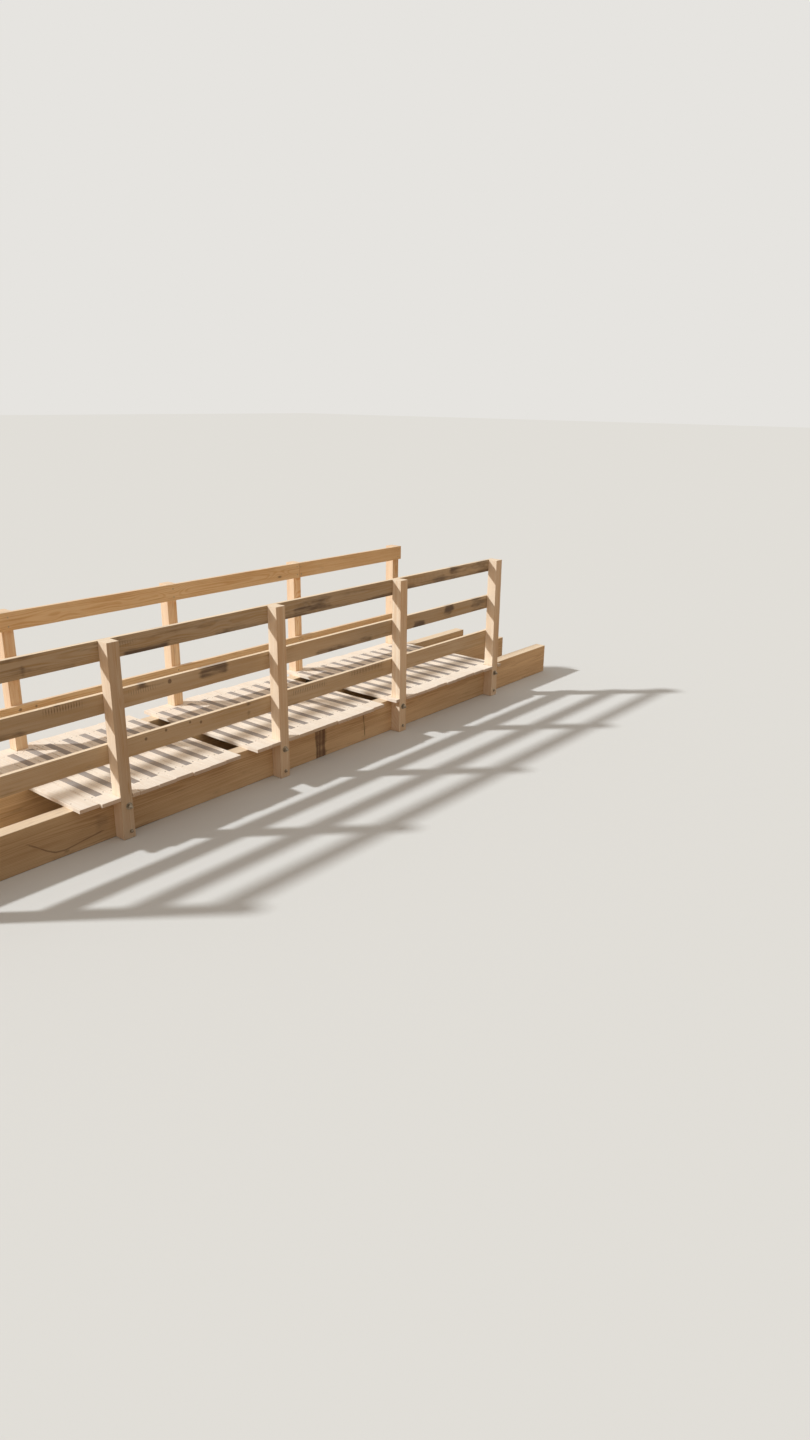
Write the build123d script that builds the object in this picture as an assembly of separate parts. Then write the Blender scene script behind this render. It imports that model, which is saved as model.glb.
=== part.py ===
"""Timber footbridge: three long sawn beams, cross planks, bolted posts and three rails a side."""

import os

from build123d import *

os.makedirs("parts", exist_ok=True)

# Lengths are in millimetres. X runs along the bridge, -Y is the near side and +Z is up.
# The undersides of the beams lie at Z = 0 and the middle posts stand at X = 0.

# Bays and posts. The posts stand against the outer faces of the outer beams.
BAY = 1500.0
POST_X = [-2 * BAY, -BAY, 0.0, BAY, 2 * BAY]
POST_W = 95.0
POST_D = 100.0
POST_ABOVE_DECK = 1090.0
ARRIS = 3.0

# Beams
BEAM_W = 115.0
BEAM_H = 300.0
BEAMS_ACROSS = 1260.0
BEAM_PAST_POST = 1107.5

# Deck planks. They lie square across the beams, with open joints and uneven ends.
# The deck is unfinished: it starts in the first bay, stops just past the last posts, and two of
# its planks aren't laid yet. Planks are numbered from the left, starting at 0.
PLANK_T = 28.0
PLANK_W = 149.0
PLANK_GAP = 6.0
DECK_BEFORE_POST = 309.5
DECK_PAST_POST = 46.5
PLANKS_LEFT_OUT = [9, 20]
PLANK_GROUPS = 6

# How far the planks' ends stand out past the posts, in turn from the left and then over again
NEAR_OVERHANGS = [-18, 9, 12, 15, 13, 5, 17, 11, 5, 10, 18, 14, 10, 12, 8, 6, 17, 15, 13, 1]
FAR_OVERHANGS = [-6, -4, -20, 4, -5, -2, -18, -8, -15, -11]

# Notches that the planks have around the posts
NOTCH_CLEARANCE = 3.0
THINNEST_TONGUE = 25.0
SHALLOWEST_CUT = 2.0

# Grip strips, set into a shallow groove along the planks between the two sides' rails
STRIP_W = 55.0
STRIP_T = 3.0
STRIP_PROUD = 1.0
STRIP_SHORT_OF_RAIL = 5.0
FIRST_PLANK_WITH_STRIP = 1

# Rails, fixed to the inner faces of the posts in two lengths that meet on the fourth post.
# The near side's short boards are narrower towards the top.
RAIL_T = 35.0
RAIL_H = 140.0
RAIL_THIRDS = {"bottom": 1, "middle": 2, "top": 3}
NEAR_SHORT_RAIL_H = {"bottom": 140.0, "middle": 130.0, "top": 115.0}
RAIL_JOINT_GAP = 2.0

# Threaded rods that clamp each post to its beam, a thick one above a thin one.
# Their ends stand out of the timber by the height of a washer and a nut, and a little more.
UPPER_ROD_D = 20.0
LOWER_ROD_D = 12.0
UPPER_ROD_END = 34.0
LOWER_ROD_END = 19.0
UPPER_ROD_BELOW_BEAM_TOP = 57.0
LOWER_ROD_ABOVE_FOOT = 53.0

# How far each near post's rods stand right of its middle line; the far posts' stand on it
NEAR_RODS_ASIDE = [0.0, 14.0, 0.0, 0.0, 0.0]

# How far a cutting block reaches past the piece that it cuts
CUT_PAST = 20.0

# Levels and planes that follow from the sizes above
DECK_TOP = BEAM_H + PLANK_T
POST_TOP = DECK_TOP + POST_ABOVE_DECK
BEAM_OUTER_Y = BEAMS_ACROSS / 2
BEAM_INNER_Y = BEAM_OUTER_Y - BEAM_W
POST_OUTER_Y = BEAM_OUTER_Y + POST_D
RAIL_INNER_Y = BEAM_OUTER_Y - RAIL_T
BEAM_LENGTH = POST_X[-1] - POST_X[0] + POST_W + 2 * BEAM_PAST_POST
UPPER_ROD_Z = BEAM_H - UPPER_ROD_BELOW_BEAM_TOP
LOWER_ROD_Z = LOWER_ROD_ABOVE_FOOT

# The deck's two ends, how many planks fill it and which of them are laid
DECK_START = POST_X[1] - POST_W / 2 - DECK_BEFORE_POST
DECK_END = POST_X[-1] + POST_W / 2 + DECK_PAST_POST
PLANK_COUNT = round((DECK_END - DECK_START) / (PLANK_W + PLANK_GAP))
PLANK_PITCH = (DECK_END - DECK_START) / PLANK_COUNT
LAID_PLANKS = [number for number in range(PLANK_COUNT) if number not in PLANKS_LEFT_OUT]

SIDES = {"near": -1, "far": 1}

# Where the rods stand along the bridge, on each side
ROD_X = {
    -1: [x + aside for x, aside in zip(POST_X, NEAR_RODS_ASIDE)],
    1: POST_X,
}


def block(x0, x1, y0, y1, z0, z1):
    """A plain block between two opposite corners, with the two Y planes in any order."""
    size = (x1 - x0, abs(y1 - y0), z1 - z0)
    return Pos((x0 + x1) / 2, (y0 + y1) / 2, (z0 + z1) / 2) * Box(*size)


def eased(solid, axis, width):
    """The solid with its long edges along the axis taken off by a small chamfer."""
    return chamfer(solid.edges().filter_by(axis), width)


def across(x, z, side, y0, y1, diameter):
    """A round piece or hole lying across the bridge between two planes."""
    turned = Pos(x, side * (y0 + y1) / 2, z) * Rot(90, 0, 0)
    return turned * Cylinder(diameter / 2, abs(y1 - y0))


def rod_pair(x, side, y0, y1, upper_past, lower_past):
    """Two round shapes between two planes at one post, each reaching past both of them."""
    upper = across(x, UPPER_ROD_Z, side, y0 - upper_past, y1 + upper_past, UPPER_ROD_D)
    lower = across(x, LOWER_ROD_Z, side, y0 - lower_past, y1 + lower_past, LOWER_ROD_D)
    return [upper, lower]


def rod_holes(side, y0, y1, places):
    """The rod holes through one piece, two at each place along the bridge."""
    return [hole for x in places for hole in rod_pair(x, side, y0, y1, CUT_PAST, CUT_PAST)]


def beam(side):
    """One long beam. The outer beams are drilled for the rods, the middle one isn't."""
    centre = side * (BEAM_OUTER_Y - BEAM_W / 2)
    half = BEAM_LENGTH / 2
    body = block(-half, half, centre - BEAM_W / 2, centre + BEAM_W / 2, 0, BEAM_H)
    body = eased(body, Axis.X, ARRIS)
    if side:
        body = body - rod_holes(side, BEAM_INNER_Y, BEAM_OUTER_Y, ROD_X[side])
    return body


def post(number, side):
    """One post, drilled for its two rods, with its foot level with the beam's underside."""
    x = POST_X[number]
    half = POST_W / 2
    body = block(x - half, x + half, side * BEAM_OUTER_Y, side * POST_OUTER_Y, 0, POST_TOP)
    body = eased(body, Axis.Z, ARRIS)
    return body - rod_holes(side, BEAM_OUTER_Y, POST_OUTER_Y, [ROD_X[side][number]])


def rail(side, level, x0, x1, height):
    """One rail board on the inner faces of the posts, with its top edge at its level."""
    top = DECK_TOP + POST_ABOVE_DECK * RAIL_THIRDS[level] / len(RAIL_THIRDS)
    body = block(x0, x1, side * BEAM_OUTER_Y, side * RAIL_INNER_Y, top - height, top)
    return eased(body, Axis.X, ARRIS / 2)


def rods(side):
    """The threaded rods of one side, plain here, with both ends of each standing out."""
    return [
        rod
        for x in ROD_X[side]
        for rod in rod_pair(x, side, BEAM_INNER_Y, POST_OUTER_Y, UPPER_ROD_END, LOWER_ROD_END)
    ]


def plank_edges(number):
    """The two long edges of a plank, which leave half a joint's gap free on each side."""
    start = DECK_START + number * PLANK_PITCH
    return start + PLANK_GAP / 2, start + PLANK_PITCH - PLANK_GAP / 2


def notch(number, post_x, side):
    """The cut in a plank's end around a post, or nothing if the plank clears the post.

    A tongue too thin to stay beside the post goes with the cut.
    """
    left, right = plank_edges(number)
    low = post_x - POST_W / 2 - NOTCH_CLEARANCE
    high = post_x + POST_W / 2 + NOTCH_CLEARANCE
    if min(high, right) - max(low, left) < SHALLOWEST_CUT:
        return None
    if low - left < THINNEST_TONGUE:
        low = left - CUT_PAST
    if right - high < THINNEST_TONGUE:
        high = right + CUT_PAST
    inner = BEAM_OUTER_Y - NOTCH_CLEARANCE
    outer = POST_OUTER_Y + max(NEAR_OVERHANGS + FAR_OVERHANGS) + CUT_PAST
    return block(low, high, side * inner, side * outer, BEAM_H - CUT_PAST, DECK_TOP + CUT_PAST)


def strip_block(number, top):
    """The outline of a plank's grip strip, from the bottom of its groove up to a level."""
    middle = sum(plank_edges(number)) / 2
    end = RAIL_INNER_Y - STRIP_SHORT_OF_RAIL
    bottom = DECK_TOP + STRIP_PROUD - STRIP_T
    return block(middle - STRIP_W / 2, middle + STRIP_W / 2, -end, end, bottom, top)


def plank(number):
    """One deck plank with its uneven ends, its notches at the posts and its strip's groove."""
    left, right = plank_edges(number)
    near = -POST_OUTER_Y - NEAR_OVERHANGS[number % len(NEAR_OVERHANGS)]
    far = POST_OUTER_Y + FAR_OVERHANGS[number % len(FAR_OVERHANGS)]
    body = block(left, right, near, far, BEAM_H, DECK_TOP)
    for post_x in POST_X:
        for side in SIDES.values():
            cut = notch(number, post_x, side)
            if cut is not None:
                body = body - cut
    if number >= FIRST_PLANK_WITH_STRIP:
        body = body - strip_block(number, DECK_TOP + CUT_PAST)
    return body


def group_planks():
    """The laid planks of each deck node, in order along the bridge."""
    ends = [round(len(LAID_PLANKS) * part / PLANK_GROUPS) for part in range(PLANK_GROUPS + 1)]
    return [LAID_PLANKS[first:last] for first, last in zip(ends, ends[1:])]


def save(name, solids):
    """Writes one node, made of one solid or of several that don't touch."""
    pieces = solids if isinstance(solids, list) else [solids]
    shape = Compound(children=[solid for piece in pieces for solid in piece.solids()])
    export_step(shape, f"parts/{name}.step")


save("near_beam", beam(-1))
save("middle_beam", beam(0))
save("far_beam", beam(1))

for side_name, side in SIDES.items():
    for number in range(len(POST_X)):
        save(f"{side_name}_post_{number + 1}", post(number, side))
    rail_start = POST_X[0] - POST_W / 2
    rail_end = POST_X[-1] + POST_W / 2
    joint = POST_X[-2]
    for level in RAIL_THIRDS:
        short_height = NEAR_SHORT_RAIL_H[level] if side_name == "near" else RAIL_H
        long_board = rail(side, level, rail_start, joint - RAIL_JOINT_GAP / 2, RAIL_H)
        short_board = rail(side, level, joint + RAIL_JOINT_GAP / 2, rail_end, short_height)
        save(f"{side_name}_{level}_rail_long", long_board)
        save(f"{side_name}_{level}_rail_short", short_board)
    save(f"{side_name}_rods", rods(side))

for number, planks in enumerate(group_planks(), start=1):
    save(f"deck_planks_{number}", [plank(n) for n in planks])

with_strip = [n for n in LAID_PLANKS if n >= FIRST_PLANK_WITH_STRIP]
save("grip_strips", [strip_block(n, DECK_TOP + STRIP_PROUD) for n in with_strip])
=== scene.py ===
"""Sawn timber, fixings, grip strips and a plain stage for a bolted footbridge."""

import math
import random

import bmesh
import bpy
from bpy.props import FloatProperty, FloatVectorProperty, PointerProperty
from mathutils import Matrix, Vector, noise


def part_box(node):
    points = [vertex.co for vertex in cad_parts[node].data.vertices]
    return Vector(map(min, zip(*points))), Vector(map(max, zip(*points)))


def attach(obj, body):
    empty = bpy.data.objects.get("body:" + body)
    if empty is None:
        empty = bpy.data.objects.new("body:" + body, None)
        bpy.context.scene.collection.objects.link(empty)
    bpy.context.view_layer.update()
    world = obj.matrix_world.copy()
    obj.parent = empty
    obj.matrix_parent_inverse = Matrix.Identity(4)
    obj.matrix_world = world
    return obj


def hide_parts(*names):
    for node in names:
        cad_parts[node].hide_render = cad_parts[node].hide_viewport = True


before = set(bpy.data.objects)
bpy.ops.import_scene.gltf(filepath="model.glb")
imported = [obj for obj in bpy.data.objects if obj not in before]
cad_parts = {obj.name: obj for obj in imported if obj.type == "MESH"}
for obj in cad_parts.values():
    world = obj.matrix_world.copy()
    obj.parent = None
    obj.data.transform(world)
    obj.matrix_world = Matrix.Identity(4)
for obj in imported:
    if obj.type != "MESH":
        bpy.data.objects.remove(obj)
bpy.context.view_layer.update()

bl_info = {
    "name": "Timber footbridge",
    "version": (1, 0, 0),
    "blender": (4, 5, 0),
    "location": "3D View > Sidebar > Footbridge",
    "description": "Builds the sawn timber, fixings and stage of a bolted footbridge",
    "category": "Object",
}

MM = 0.001
SIDES = {"near": -1, "far": 1}
BEAMS = ("near", "middle", "far")
POSTS = range(1, 6)
RAILS = [(level, length) for level in ("bottom", "middle", "top") for length in ("long", "short")]
DECK_NODES = sorted(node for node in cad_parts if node.startswith("deck_planks_"))
WORLD_AXES = (Vector((1, 0, 0)), Vector((0, 1, 0)), Vector((0, 0, 1)))
PLANK_AXES = (WORLD_AXES[1], WORLD_AXES[0], WORLD_AXES[2])
# The lamp's direction, which the boards' painted highlight and painted shade also follow
SUN_FROM = (-0.58, 0.58, 0.58)


def linear(hex_colour):
    """The linear RGB of an sRGB hex colour."""
    parts = [int(hex_colour[i:i + 2], 16) / 255 for i in (1, 3, 5)]
    return tuple(p / 12.92 if p <= 0.04045 else ((p + 0.055) / 1.055) ** 2.4 for p in parts)


def colour_setting(name, hex_colour, description):
    """A colour that the user can change, with its default given as sRGB hex."""
    return FloatVectorProperty(
        name=name, description=description, subtype="COLOR", size=3, min=0, max=1,
        default=linear(hex_colour))


def length_setting(name, millimetres, description):
    """A length that the user can change, with its default given in millimetres."""
    return FloatProperty(
        name=name, description=description, default=millimetres * MM, min=0,
        precision=4, subtype="DISTANCE", unit="LENGTH")


def angle_setting(name, degrees, description):
    """An angle that the user can change, with its default given in degrees."""
    return FloatProperty(
        name=name, description=description, default=math.radians(degrees),
        subtype="ANGLE", unit="ROTATION")


class TimberSettings(bpy.types.PropertyGroup):
    """Sizes and colours of the sawn boards."""

    arris: length_setting("Arris", 3, "Width of the rounding along a post's or beam's long edges")
    board_arris: length_setting("Board arris", 1.5, "The same along a rail's or plank's edges")
    end_arris: length_setting("End arris", 1, "Width of the rounding around a board's end")
    unevenness: length_setting("Unevenness", 0.7, "How far the saw wandered from a flat face")
    wander: length_setting("Wander", 160, "Distance over which the saw wandered")
    step: length_setting("Step", 30, "Distance between the cross-sections of a board's mesh")
    fine_step: length_setting("Fine step", 12, "The same for a board with marks of its own")
    beams_colour: colour_setting("Beams", "#E7CBA0", "Pale wood of the beams")
    # The near and far posts and rails are one oak in lit and shaded copies: the far side's more
    # orange colours are painted light, as from the sunlit deck, and the near side is darkened by
    # its painted shade.
    near_posts_colour: colour_setting("Near posts", "#FAE8CC", "Pale wood of the near posts")
    far_posts_colour: colour_setting("Far posts", "#F9DFBA", "Pale wood of the far posts")
    near_rails_colour: colour_setting("Near rails", "#FAE4C1", "Pale wood of the near rails")
    far_rails_colour: colour_setting("Far rails", "#F4D3A3", "Pale wood of the far rails")
    planks_colour: colour_setting("Deck", "#FBF3E6", "Pale wood of the deck planks")


class FixingSettings(bpy.types.PropertyGroup):
    """Sizes of the rods' ends, nuts, washers and screws."""

    pitch: length_setting("Thread pitch", 2.5, "Distance from one thread to the next")
    thread_depth: length_setting("Thread depth", 1.2, "Depth of the thread")
    upper_washer: length_setting("Upper washer", 50, "Diameter of the upper rods' washers")
    upper_washer_t: length_setting("Upper washer thickness", 4, "Thickness of those washers")
    upper_nut: length_setting("Upper nut", 30, "Distance across the upper nuts' flats")
    upper_nut_h: length_setting("Upper nut height", 16, "Height of the upper nuts")
    lower_washer: length_setting("Lower washer", 28, "Diameter of the lower rods' washers")
    lower_washer_t: length_setting("Lower washer thickness", 2.5, "Thickness of those washers")
    lower_nut: length_setting("Lower nut", 19, "Distance across the lower nuts' flats")
    lower_nut_h: length_setting("Lower nut height", 10, "Height of the lower nuts")
    screw: length_setting("Screw head", 13, "Diameter of a screw's head")
    steel_colour: colour_setting("Steel", "#B5A690", "Dull zinc coat on the steel")


class StripSettings(bpy.types.PropertyGroup):
    """Look of the grip strips in the deck."""

    edge: length_setting("Edge", 0.8, "Rounding along a strip's edges")
    colour: colour_setting("Strip", "#A19A95", "Resin and grit of the strips")


class StageSettings(bpy.types.PropertyGroup):
    """Floor, background, lamp and camera."""

    floor_colour: colour_setting("Floor", "#DDE0DF", "Floor as the camera sees it")
    bounce_colour: colour_setting("Bounce", "#A07A4C", "Floor as it lights the timber")
    back_colour: colour_setting("Background", "#E6E4E0", "Background above the floor")
    floor_size: length_setting("Floor size", 240000, "Width of the square floor")
    floor_drop: length_setting("Floor drop", 2, "How far the floor lies under the beams")
    sky_colour: colour_setting("Sky", "#FFF1E4", "Even light from all round")
    sky_strength: FloatProperty(
        name="Sky strength", description="Strength of the even light", default=0.5, min=0)
    sun_strength: FloatProperty(
        name="Lamp", description="Strength of the lamp", default=2.95, min=0)
    sun_softness: angle_setting("Softness", 3, "Angle over which the lamp's shadows soften")
    sun_from: FloatVectorProperty(
        name="Lamp from", description="Direction that the lamp shines from", size=3,
        default=SUN_FROM, subtype="DIRECTION")
    eye: FloatVectorProperty(
        name="Camera", description="Place of the camera", size=3,
        default=(-4.9152, -5.9990, 2.9581), subtype="TRANSLATION", unit="LENGTH")
    heading: angle_setting("Heading", 50.7497, "Turn of the camera from +Y towards +X")
    tilt: angle_setting("Tilt", 18.9515, "How far the camera looks down")
    roll: angle_setting("Roll", -0.7379, "How far the camera leans")
    lens: FloatProperty(
        name="Lens", description="Focal length on a sensor 36 mm tall", default=23.521, min=1,
        subtype="DISTANCE_CAMERA", unit="CAMERA")


# How the wood of each kind of board differs beside its pale colour: its darker growth, its
# stains, how far apart its growth rings are drawn in mm, how strong its knots are, and how much
# its sawn ends darken. Real rings are 2 to 4 mm apart, drawn wider so that they show.
WOODS = {
    "beams": {"dark": "#C6A57A", "stain": "#8C7358", "rings": 8, "knots": 0.5, "ends": 0.35},
    # The far posts' and far rails' more orange darks are painted light, like their pale colours.
    "near_posts": {"dark": "#E3C093", "stain": "#A08A70", "rings": 6, "knots": 0.6, "ends": 0.1},
    "far_posts": {"dark": "#DDAA70", "stain": "#A08A70", "rings": 6, "knots": 0.6, "ends": 0.1},
    "near_rails": {"dark": "#E3C18F", "stain": "#7A6553", "rings": 6, "knots": 0.7, "ends": 0.35},
    "far_rails": {"dark": "#DAAC73", "stain": "#7A6553", "rings": 6, "knots": 0.7, "ends": 0.35},
    "planks": {"dark": "#EAD9C4", "stain": "#B5A08E", "rings": 6, "knots": 0.7, "ends": 0.35},
}

# Colours that all the wood shares, and those of the strips' grains and dust and the dark zinc
DARK_SPOT = "#6A4C36"
# Painted light: the pale colour laid over faces turned to the lamp
PAINTED_HIGHLIGHT_COLOUR = "#F8EFE1"
# Arrises: paler with wear, and with a painted highlight along them
WORN_AND_HIGHLIT_EDGE = "#F3E2C4"
SAWN_END = "#A9835A"
PALE_GRIT = "#BBB3AC"
DUST = "#B5A08A"
DARK_ZINC = "#7F7363"

# How many features of each pattern a metre of wood has, along, across and through the board:
# slow bends, knots, streaks about 17 mm wide, fibres about 1.5 mm wide, and patches of stain
# about 60 mm wide
BENDS = (0.8, 4, 4)
KNOTS = (2.1, 4.4, 4.4)
STREAKS = (1.3, 60, 60)
FIBRES = (14, 640, 640)
PATCHES = (3, 17, 17)

# How far the trunk's own wander bends the grain, how far apart the feed rollers' ticks and the
# saw's marks are, and how high the saw's relief stands, all in mm
BEND = 25
TICK_SPACING = 20
SAW_SPACING = 7
RELIEF = 0.8

# Painted shade: how much brighter or darker than its colour the wood is drawn on faces turned
# from
# the lamp, by share: the beams from the near one, each side's posts from the left, its rail
# boards in the order of RAILS, and the planks' range, within which each plank's is drawn at
# random
BEAM_PAINTED_SHADE = (0.0, 0.0, -0.15)
POST_PAINTED_SHADE = {"near": (-0.25, -0.32, -0.15, -0.08, -0.1), "far": (-0.1, -0.1, -0.02, 0.05, -0.15)}
RAIL_PAINTED_SHADE = {"near": (-0.33, -0.30, -0.42, -0.38, -0.43, -0.33),
              "far": (-0.15, -0.15, -0.1, -0.1, -0.12, -0.12)}
PLANK_PAINTED_SHADE = (-0.15, 0.0)

# How far from the trunk's heart the boards were cut, and the range of how far along it, in metres
BEAM_HEART = 0.05
POST_HEART = 0.07
RAIL_HEART = 0.12
PLANK_HEARTS = (0.04, 0.16)
GRAIN_STARTS = (5, 40)

# Where the random draws of each kind of piece start, and what sets boards' unevenness apart
BEAM_SEED = 11
POST_SEEDS = {"near": 20, "far": 30}
RAIL_SEEDS = {"near": 41, "far": 47}
PLANK_SEED = 100
SCREW_SEED = 7
DRIFT = (7.3, 3.1, 5.7)

# The share by which faces towards the lamp are drawn paler, as painted light, and the cosine from
# which on they are so in full. Arrises are drawn paler between these shares of their width, as
# wear and a painted highlight. A face is a sawn end where its cosine with the board's run is over
# the last one.
PAINTED_HIGHLIGHT_SHARE = 0.35
FULL_SUN = 0.5
PALE_ARRIS_BAND = (0.02, 0.8)
SAWN_ACROSS = 0.7

# The marks that the timber materials read: places on the grain and off the nearest knot, and
# values of points and of faces
PLACE_MARKS = ("grain", "knot")
POINT_MARKS = ("stained", "ticked", "off_line", "line_reach", "edge")
FACE_MARKS = ("end", "tone", "dried")

# Marks that single boards have, in millimetres along the bridge and above the board's lower edge.
# Stains and roller ticks are patches: from and to along the bridge, from and to above the edge,
# and how strong. Knots are a place and a radius. Lines are dark streaks, given by their width and
# the places that they go through. The painted shade along the bridge says how much brighter or
# darker the board's faces turned from the lamp are drawn at places along it.
MARKS = {
    "near_beam": {
        "painted_shade_along": [(-4200, -0.3), (-2200, -0.26), (-700, -0.11), (700, 0), (1700, 0.06),
                  (2850, -0.12), (3150, 0.05), (4200, 0.07)],
        # The second patch darkens the beam just left of the near post 1.5 m left of the middle.
        "stains": [(430, 600, -99, 399, 0.95), (-1720, -1560, -99, 399, 0.4),
                   (1010, 1130, 20, 290, 0.35), (-4200, 4200, -60, 40, 0.35)],
        "lines": [(7, [(-2190, 172), (-2131, 131), (-2070, 84), (-2011, 52), (-1940, 44),
                       (-1868, 53), (-1760, 68), (-1663, 80)]),
                  (22, [(462, -99), (470, 90), (458, 180), (463, 399)]),
                  (9, [(503, -99), (499, 150), (505, 399)]),
                  (32, [(553, -99), (545, 120), (551, 200), (547, 399)]),
                  (9, [(1080, 60), (1078, 126), (1070, 165), (1064, 225), (1059, 270)])],
    },
    "near_top_rail_long": {
        "stains": [(-3100, 1500, -99, 300, 0.25), (-2120, -2050, -40, 110, 0.9),
                   (-1990, -1700, -60, 34, 0.8), (-1390, -960, -60, 46, 1.0),
                   (-1120, -1020, 40, 90, 0.6), (-600, 1500, -80, 40, 0.7),
                   (200, 700, -60, 120, 0.6)],
        "ticks": [(-1500, -1250, 60, 110, 0.4)],
    },
    "near_middle_rail_long": {
        "painted_shade_along": [(-3100, 0), (-1560, 0), (-1440, 0.1), (0, 0.1), (300, 0.16), (750, 0.12),
                  (1100, -0.02), (1500, -0.02)],
        "stains": [(-760, -440, 40, 200, 0.9), (-1290, -1170, 100, 200, 0.8),
                   (-2700, -2100, -99, 70, 0.5), (450, 1200, -60, 60, 0.6)],
        "ticks": [(-2000, -1690, 84, 136, 1.0), (-1360, -1110, 70, 116, 0.7)],
        "knots": [(-1001, 106, 15)],
    },
    "near_bottom_rail_long": {
        "stains": [(-310, -250, -99, 200, 1.0), (0, 300, -99, 50, 0.5),
                   (-2600, -2100, -60, 50, 0.4)],
        "ticks": [(180, 600, 74, 126, 1.0), (880, 1340, 80, 150, 1.0)],
        "knots": [(-1237, 95, 11), (-1063, 116, 10), (-847, 120, 9), (-748, 96, 11)],
    },
    "near_top_rail_short": {
        "stains": [(1500, 3100, -60, 60, 0.7), (2280, 3100, 30, 180, 0.7)],
        "ticks": [(1560, 2250, 10, 110, 0.5)],
    },
    "near_middle_rail_short": {
        "stains": [(2220, 2410, 60, 190, 1.0), (1740, 1960, -60, 75, 0.9),
                   (2190, 2380, 0, 75, 0.8), (2650, 3100, -60, 190, 0.5)],
    },
    "far_bottom_rail_long": {
        "knots": [(-1493, 106, 11), (-1363, 104, 10)],
    },
}

# How far a patch's soft rim reaches inwards along the board and up it, how far past its rim a
# knot or line is looked for, and the distance and size given where there is none, all in mm
PATCH_EDGE = (50, 25)
NEAR = 30
FAR_OFF = 1000
NOTHING_NEAR = -30

# Edges that turn by more than this many degrees are drawn sharp: all of a board's, and only the
# steepest of a turned part's.
SHARP_ON_BOARDS = 15
SHARP_ON_FIXINGS = 32

# Points closer than the weld are one, and points within a hair of a height are level with it.
# Two ways are the same where their cosine is over the last number.
WELD = 0.01 * MM
HAIR = 0.1 * MM
SAME_WAY = 0.99

# A plank's corners are eased where they turn by more and are longer than this.
CORNER_TURN = math.radians(60)
CORNER_LENGTH = 20 * MM

# Sides that stand for a round
WASHER_SIDES = 36
ROD_SIDES = 20
SCREW_SIDES = 10

# The turns of thread at a rod's end, where in a turn its crest and root stand, how far on it has
# run out, the play of a washer on its rod, and the share of the widest rod's width that only the
# upper rods have
THREAD_TURNS = 5
CREST, ROOT, RUN_OUT = 0.6, 1.1, 1.2
WASHER_PLAY = 1.5 * MM
THICK = 0.9

# Two screws hold a rail at each post, at these shares of its height. Two hold a plank at each
# beam, this far in from the plank's edges. A board on less of a post than the least hold has
# none there. The hand that set them strayed by up to the last two, along and up or across.
RAIL_SCREWS = (0.25, 0.75)
SCREW_IN = 22 * MM
LEAST_HOLD = 20 * MM
RAIL_STRAY = (6 * MM, 5 * MM)
DECK_STRAY = (4 * MM, 15 * MM)

# The camera's sensor height in mm, and how far it sees in metres
SENSOR = 36
SIGHT = 500


def add(tree, kind, inputs=None, **settings):
    """Adds a node with its settings, its input values and its links.

    A node among the inputs stands for its first output.
    """
    made = tree.nodes.new(kind)
    for key, value in settings.items():
        setattr(made, key, value)
    for socket, value in (inputs or {}).items():
        if isinstance(value, bpy.types.Node):
            value = value.outputs[0]
        if isinstance(value, bpy.types.NodeSocket):
            tree.links.new(value, made.inputs[socket])
        else:
            made.inputs[socket].default_value = value
    return made


def new_material(name):
    """An empty node material."""
    material = bpy.data.materials.new(name)
    material.use_nodes = True
    material.node_tree.nodes.clear()
    return material, material.node_tree


def end_material(tree, inputs):
    """Ends a material with its shader and output."""
    shader = add(tree, "ShaderNodeBsdfPrincipled", inputs)
    add(tree, "ShaderNodeOutputMaterial", {"Surface": shader})


def bent_grain(tree, grain):
    """The grain as the trunk's wander bends it, and the slow pattern that the bends follow."""
    slow = add(tree, "ShaderNodeVectorMath", {0: grain, 1: BENDS}, operation="MULTIPLY")
    wander = add(tree, "ShaderNodeTexNoise", {"Vector": slow, "Scale": 1, "Detail": 2}).outputs[1]
    most = BEND * MM
    offset = add(tree, "ShaderNodeVectorMath",
                 {0: wander, 1: (0, 2 * most, 2 * most), 2: (0, -most, -most)},
                 operation="MULTIPLY_ADD")
    return add(tree, "ShaderNodeVectorMath", {0: grain, 1: offset}), slow


def knots_and_rings(tree, bent, wood):
    """Knots up to 35 mm wide, some 0.5 m apart, and growth rings that swell round them."""
    cells = add(tree, "ShaderNodeVectorMath", {0: bent, 1: KNOTS}, operation="MULTIPLY")
    spot = add(tree, "ShaderNodeTexVoronoi", {"Vector": cells, "Scale": 1}).outputs["Distance"]
    knot = add(tree, "ShaderNodeMapRange",
               {"Value": spot, "From Min": 0.075, "From Max": 0.03, "To Max": wood["knots"]},
               interpolation_type="SMOOTHSTEP")
    swell = add(tree, "ShaderNodeMapRange",
                {"Value": spot, "From Min": 0.4, "From Max": 0, "To Max": 0.02},
                interpolation_type="SMOOTHSTEP")
    across = add(tree, "ShaderNodeVectorMath", {0: bent, 1: (0, 1, 1)}, operation="MULTIPLY")
    radius = add(tree, "ShaderNodeVectorMath", {0: across}, operation="LENGTH").outputs["Value"]
    swollen = add(tree, "ShaderNodeMath", {0: radius, 1: swell})
    turns = add(tree, "ShaderNodeMath", {0: swollen, 1: math.tau / (wood["rings"] * MM)},
                operation="MULTIPLY")
    wave = add(tree, "ShaderNodeMath", {0: turns}, operation="SINE")
    ring = add(tree, "ShaderNodeMapRange", {"Value": wave, "From Min": -0.2, "From Max": 1},
               interpolation_type="SMOOTHSTEP")
    return knot, ring


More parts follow.
